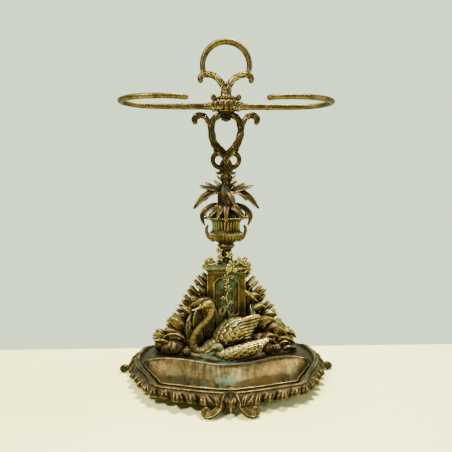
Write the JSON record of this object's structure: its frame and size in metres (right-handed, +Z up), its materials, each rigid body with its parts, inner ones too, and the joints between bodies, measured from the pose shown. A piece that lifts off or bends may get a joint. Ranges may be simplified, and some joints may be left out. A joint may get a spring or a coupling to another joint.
{
  "type": "umbrella stand",
  "caption": "Cast brass umbrella stand with open ring arms, a carrying handle, an urn column, a swan relief and a lift-out drip tray.",
  "frame": {"origin": "on the floor, under the middle of the whole stand's bounding box", "axes": "+Z up, -Y towards the front where the drip tray is, +X to the viewer's right"},
  "size_m": [0.502, 0.3096, 0.7798],
  "materials": {
    "brass_casting": "aged, brown in the hollows, worn bright on the edges, green patches",
    "brass_tray": "aged and stained, with green patches",
    "steel_fixings": "dull and darkened"
  },
  "bodies": {
    "stand": {"agave": "brass_casting", "arm_pin_left": "steel_fixings", "arm_pin_right": "steel_fixings", "base_frame": "brass_casting", "column_rod": "steel_fixings", "crossbar_boss": "brass_casting", "cygnet": "brass_casting", "cygnet_screw": "steel_fixings", "front_foot_left": "brass_casting", "front_foot_right": "brass_casting", "front_foot_screw_left": "steel_fixings", "front_foot_screw_right": "steel_fixings", "handle_loop": "brass_casting", "handle_pin_left": "steel_fixings", "handle_pin_right": "steel_fixings", "handle_stud": "steel_fixings", "handle_yoke": "brass_casting", "hub_nut": "steel_fixings", "lyre_bracket": "brass_casting", "panel_screw_left": "steel_fixings", "panel_screw_right": "steel_fixings", "pedestal": "brass_casting", "pedestal_bolt_lower": "steel_fixings", "pedestal_bolt_upper": "steel_fixings", "pedestal_cap": "brass_casting", "rear_foot_left": "brass_casting", "rear_foot_right": "brass_casting", "rear_foot_screw_left": "steel_fixings", "rear_foot_screw_right": "steel_fixings", "reed_panel": "brass_casting", "ring_arm_left": "brass_casting", "ring_arm_right": "brass_casting", "rock_mound": "brass_casting", "rock_screw_left": "steel_fixings", "rock_screw_right": "steel_fixings", "side_foot_left": "brass_casting", "side_foot_right": "brass_casting", "side_foot_screw_left": "steel_fixings", "side_foot_screw_right": "steel_fixings", "swan": "brass_casting", "swan_screw": "steel_fixings", "top_collar": "brass_casting", "urn": "brass_casting", "urn_stem": "brass_casting"},
    "tray": {"drip_tray": "brass_tray"}
  },
  "joints": [
    {"name": "tray_lift", "type": "slide", "parent": "stand", "child": "tray", "axis": [0, 0, 1], "range_m": [0, 0.06]}
  ]
}
